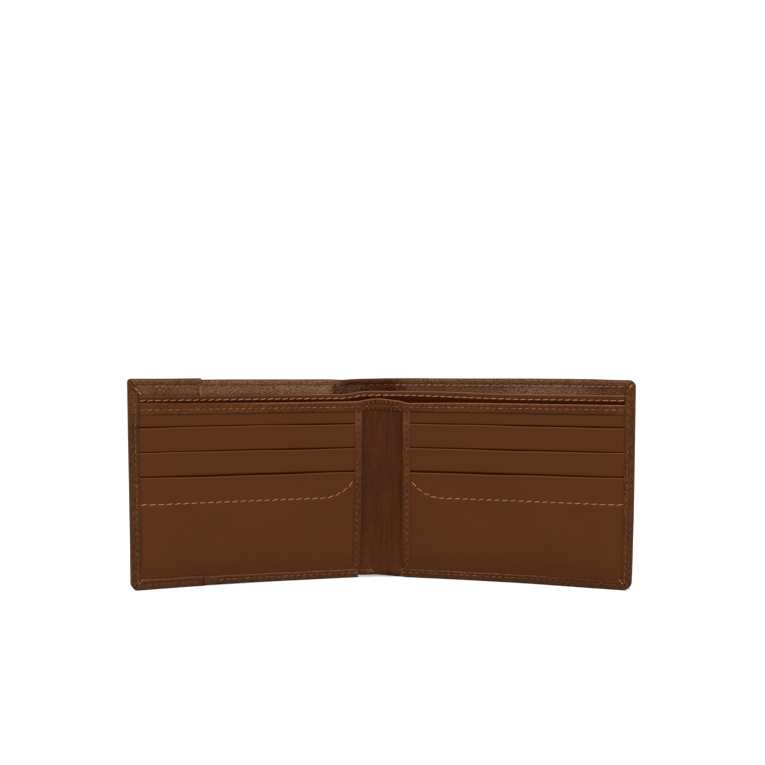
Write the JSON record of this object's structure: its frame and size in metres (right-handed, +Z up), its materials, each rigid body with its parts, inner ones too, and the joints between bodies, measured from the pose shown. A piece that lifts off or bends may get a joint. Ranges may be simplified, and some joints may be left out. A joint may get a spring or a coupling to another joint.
{
  "type": "bifold wallet",
  "caption": "Leather bifold wallet standing half open, with card pockets on both inner wings, a divided bill compartment and a soft folding spine.",
  "frame": {"origin": "middle of the standing footprint, on the surface under the bottom edge", "axes": "+Z up, +X towards the right wing, the inside of the wallet faces -Y"},
  "size_m": [0.2163, 0.0416, 0.0906],
  "materials": {
    "shell_leather": "brown grained leather, satin",
    "trim_leather": "brown leather trim, satin",
    "pocket_leather": "smooth brown leather, matte",
    "lining_leather": "pebbled grey-brown lining leather, soft sheen",
    "thread": "waxed tan thread",
    "board": "bonded leather board, matte"
  },
  "bodies": {
    "spine": {"spine_shell": "shell_leather", "spine_lining": "lining_leather", "spine_divider": "lining_leather", "spine_inner_panel": "pocket_leather", "spine_band": "trim_leather", "spine_hem_thread": "thread", "spine_divider_thread": "thread", "spine_band_thread": "thread"},
    "left_wing": {"left_shell": "shell_leather", "left_end_panel": "shell_leather", "left_board": "board", "left_lining": "lining_leather", "left_end_lining": "lining_leather", "left_divider": "lining_leather", "left_inner_panel": "pocket_leather", "left_card_panel": "pocket_leather", "left_pocket_1": "pocket_leather", "left_pocket_2": "pocket_leather", "left_pocket_3": "pocket_leather", "left_band": "trim_leather", "left_edge_strip": "trim_leather", "left_border_thread": "thread", "left_hem_thread": "thread", "left_divider_thread": "thread", "left_band_thread": "thread", "left_strip_thread": "thread", "left_accent_thread": "thread", "left_end_panel_thread": "thread"},
    "right_wing": {"right_shell": "shell_leather", "right_board": "board", "right_lining": "lining_leather", "right_divider": "lining_leather", "right_inner_panel": "pocket_leather", "right_card_panel": "pocket_leather", "right_pocket_1": "pocket_leather", "right_pocket_2": "pocket_leather", "right_pocket_3": "pocket_leather", "right_band": "trim_leather", "right_edge_strip": "trim_leather", "right_border_thread": "thread", "right_hem_thread": "thread", "right_divider_thread": "thread", "right_band_thread": "thread", "right_strip_thread": "thread", "right_accent_thread": "thread"}
  },
  "joints": [
    {"name": "left_crease", "type": "hinge", "parent": "spine", "child": "left_wing", "pos_m": [-0.0085, 0.01846, 0.045], "axis": [0, 0, 1], "range_deg": [-19, 71]},
    {"name": "right_crease", "type": "hinge", "parent": "spine", "child": "right_wing", "pos_m": [0.0085, 0.01846, 0.045], "axis": [0, 0, -1], "range_deg": [-19, 71]}
  ]
}
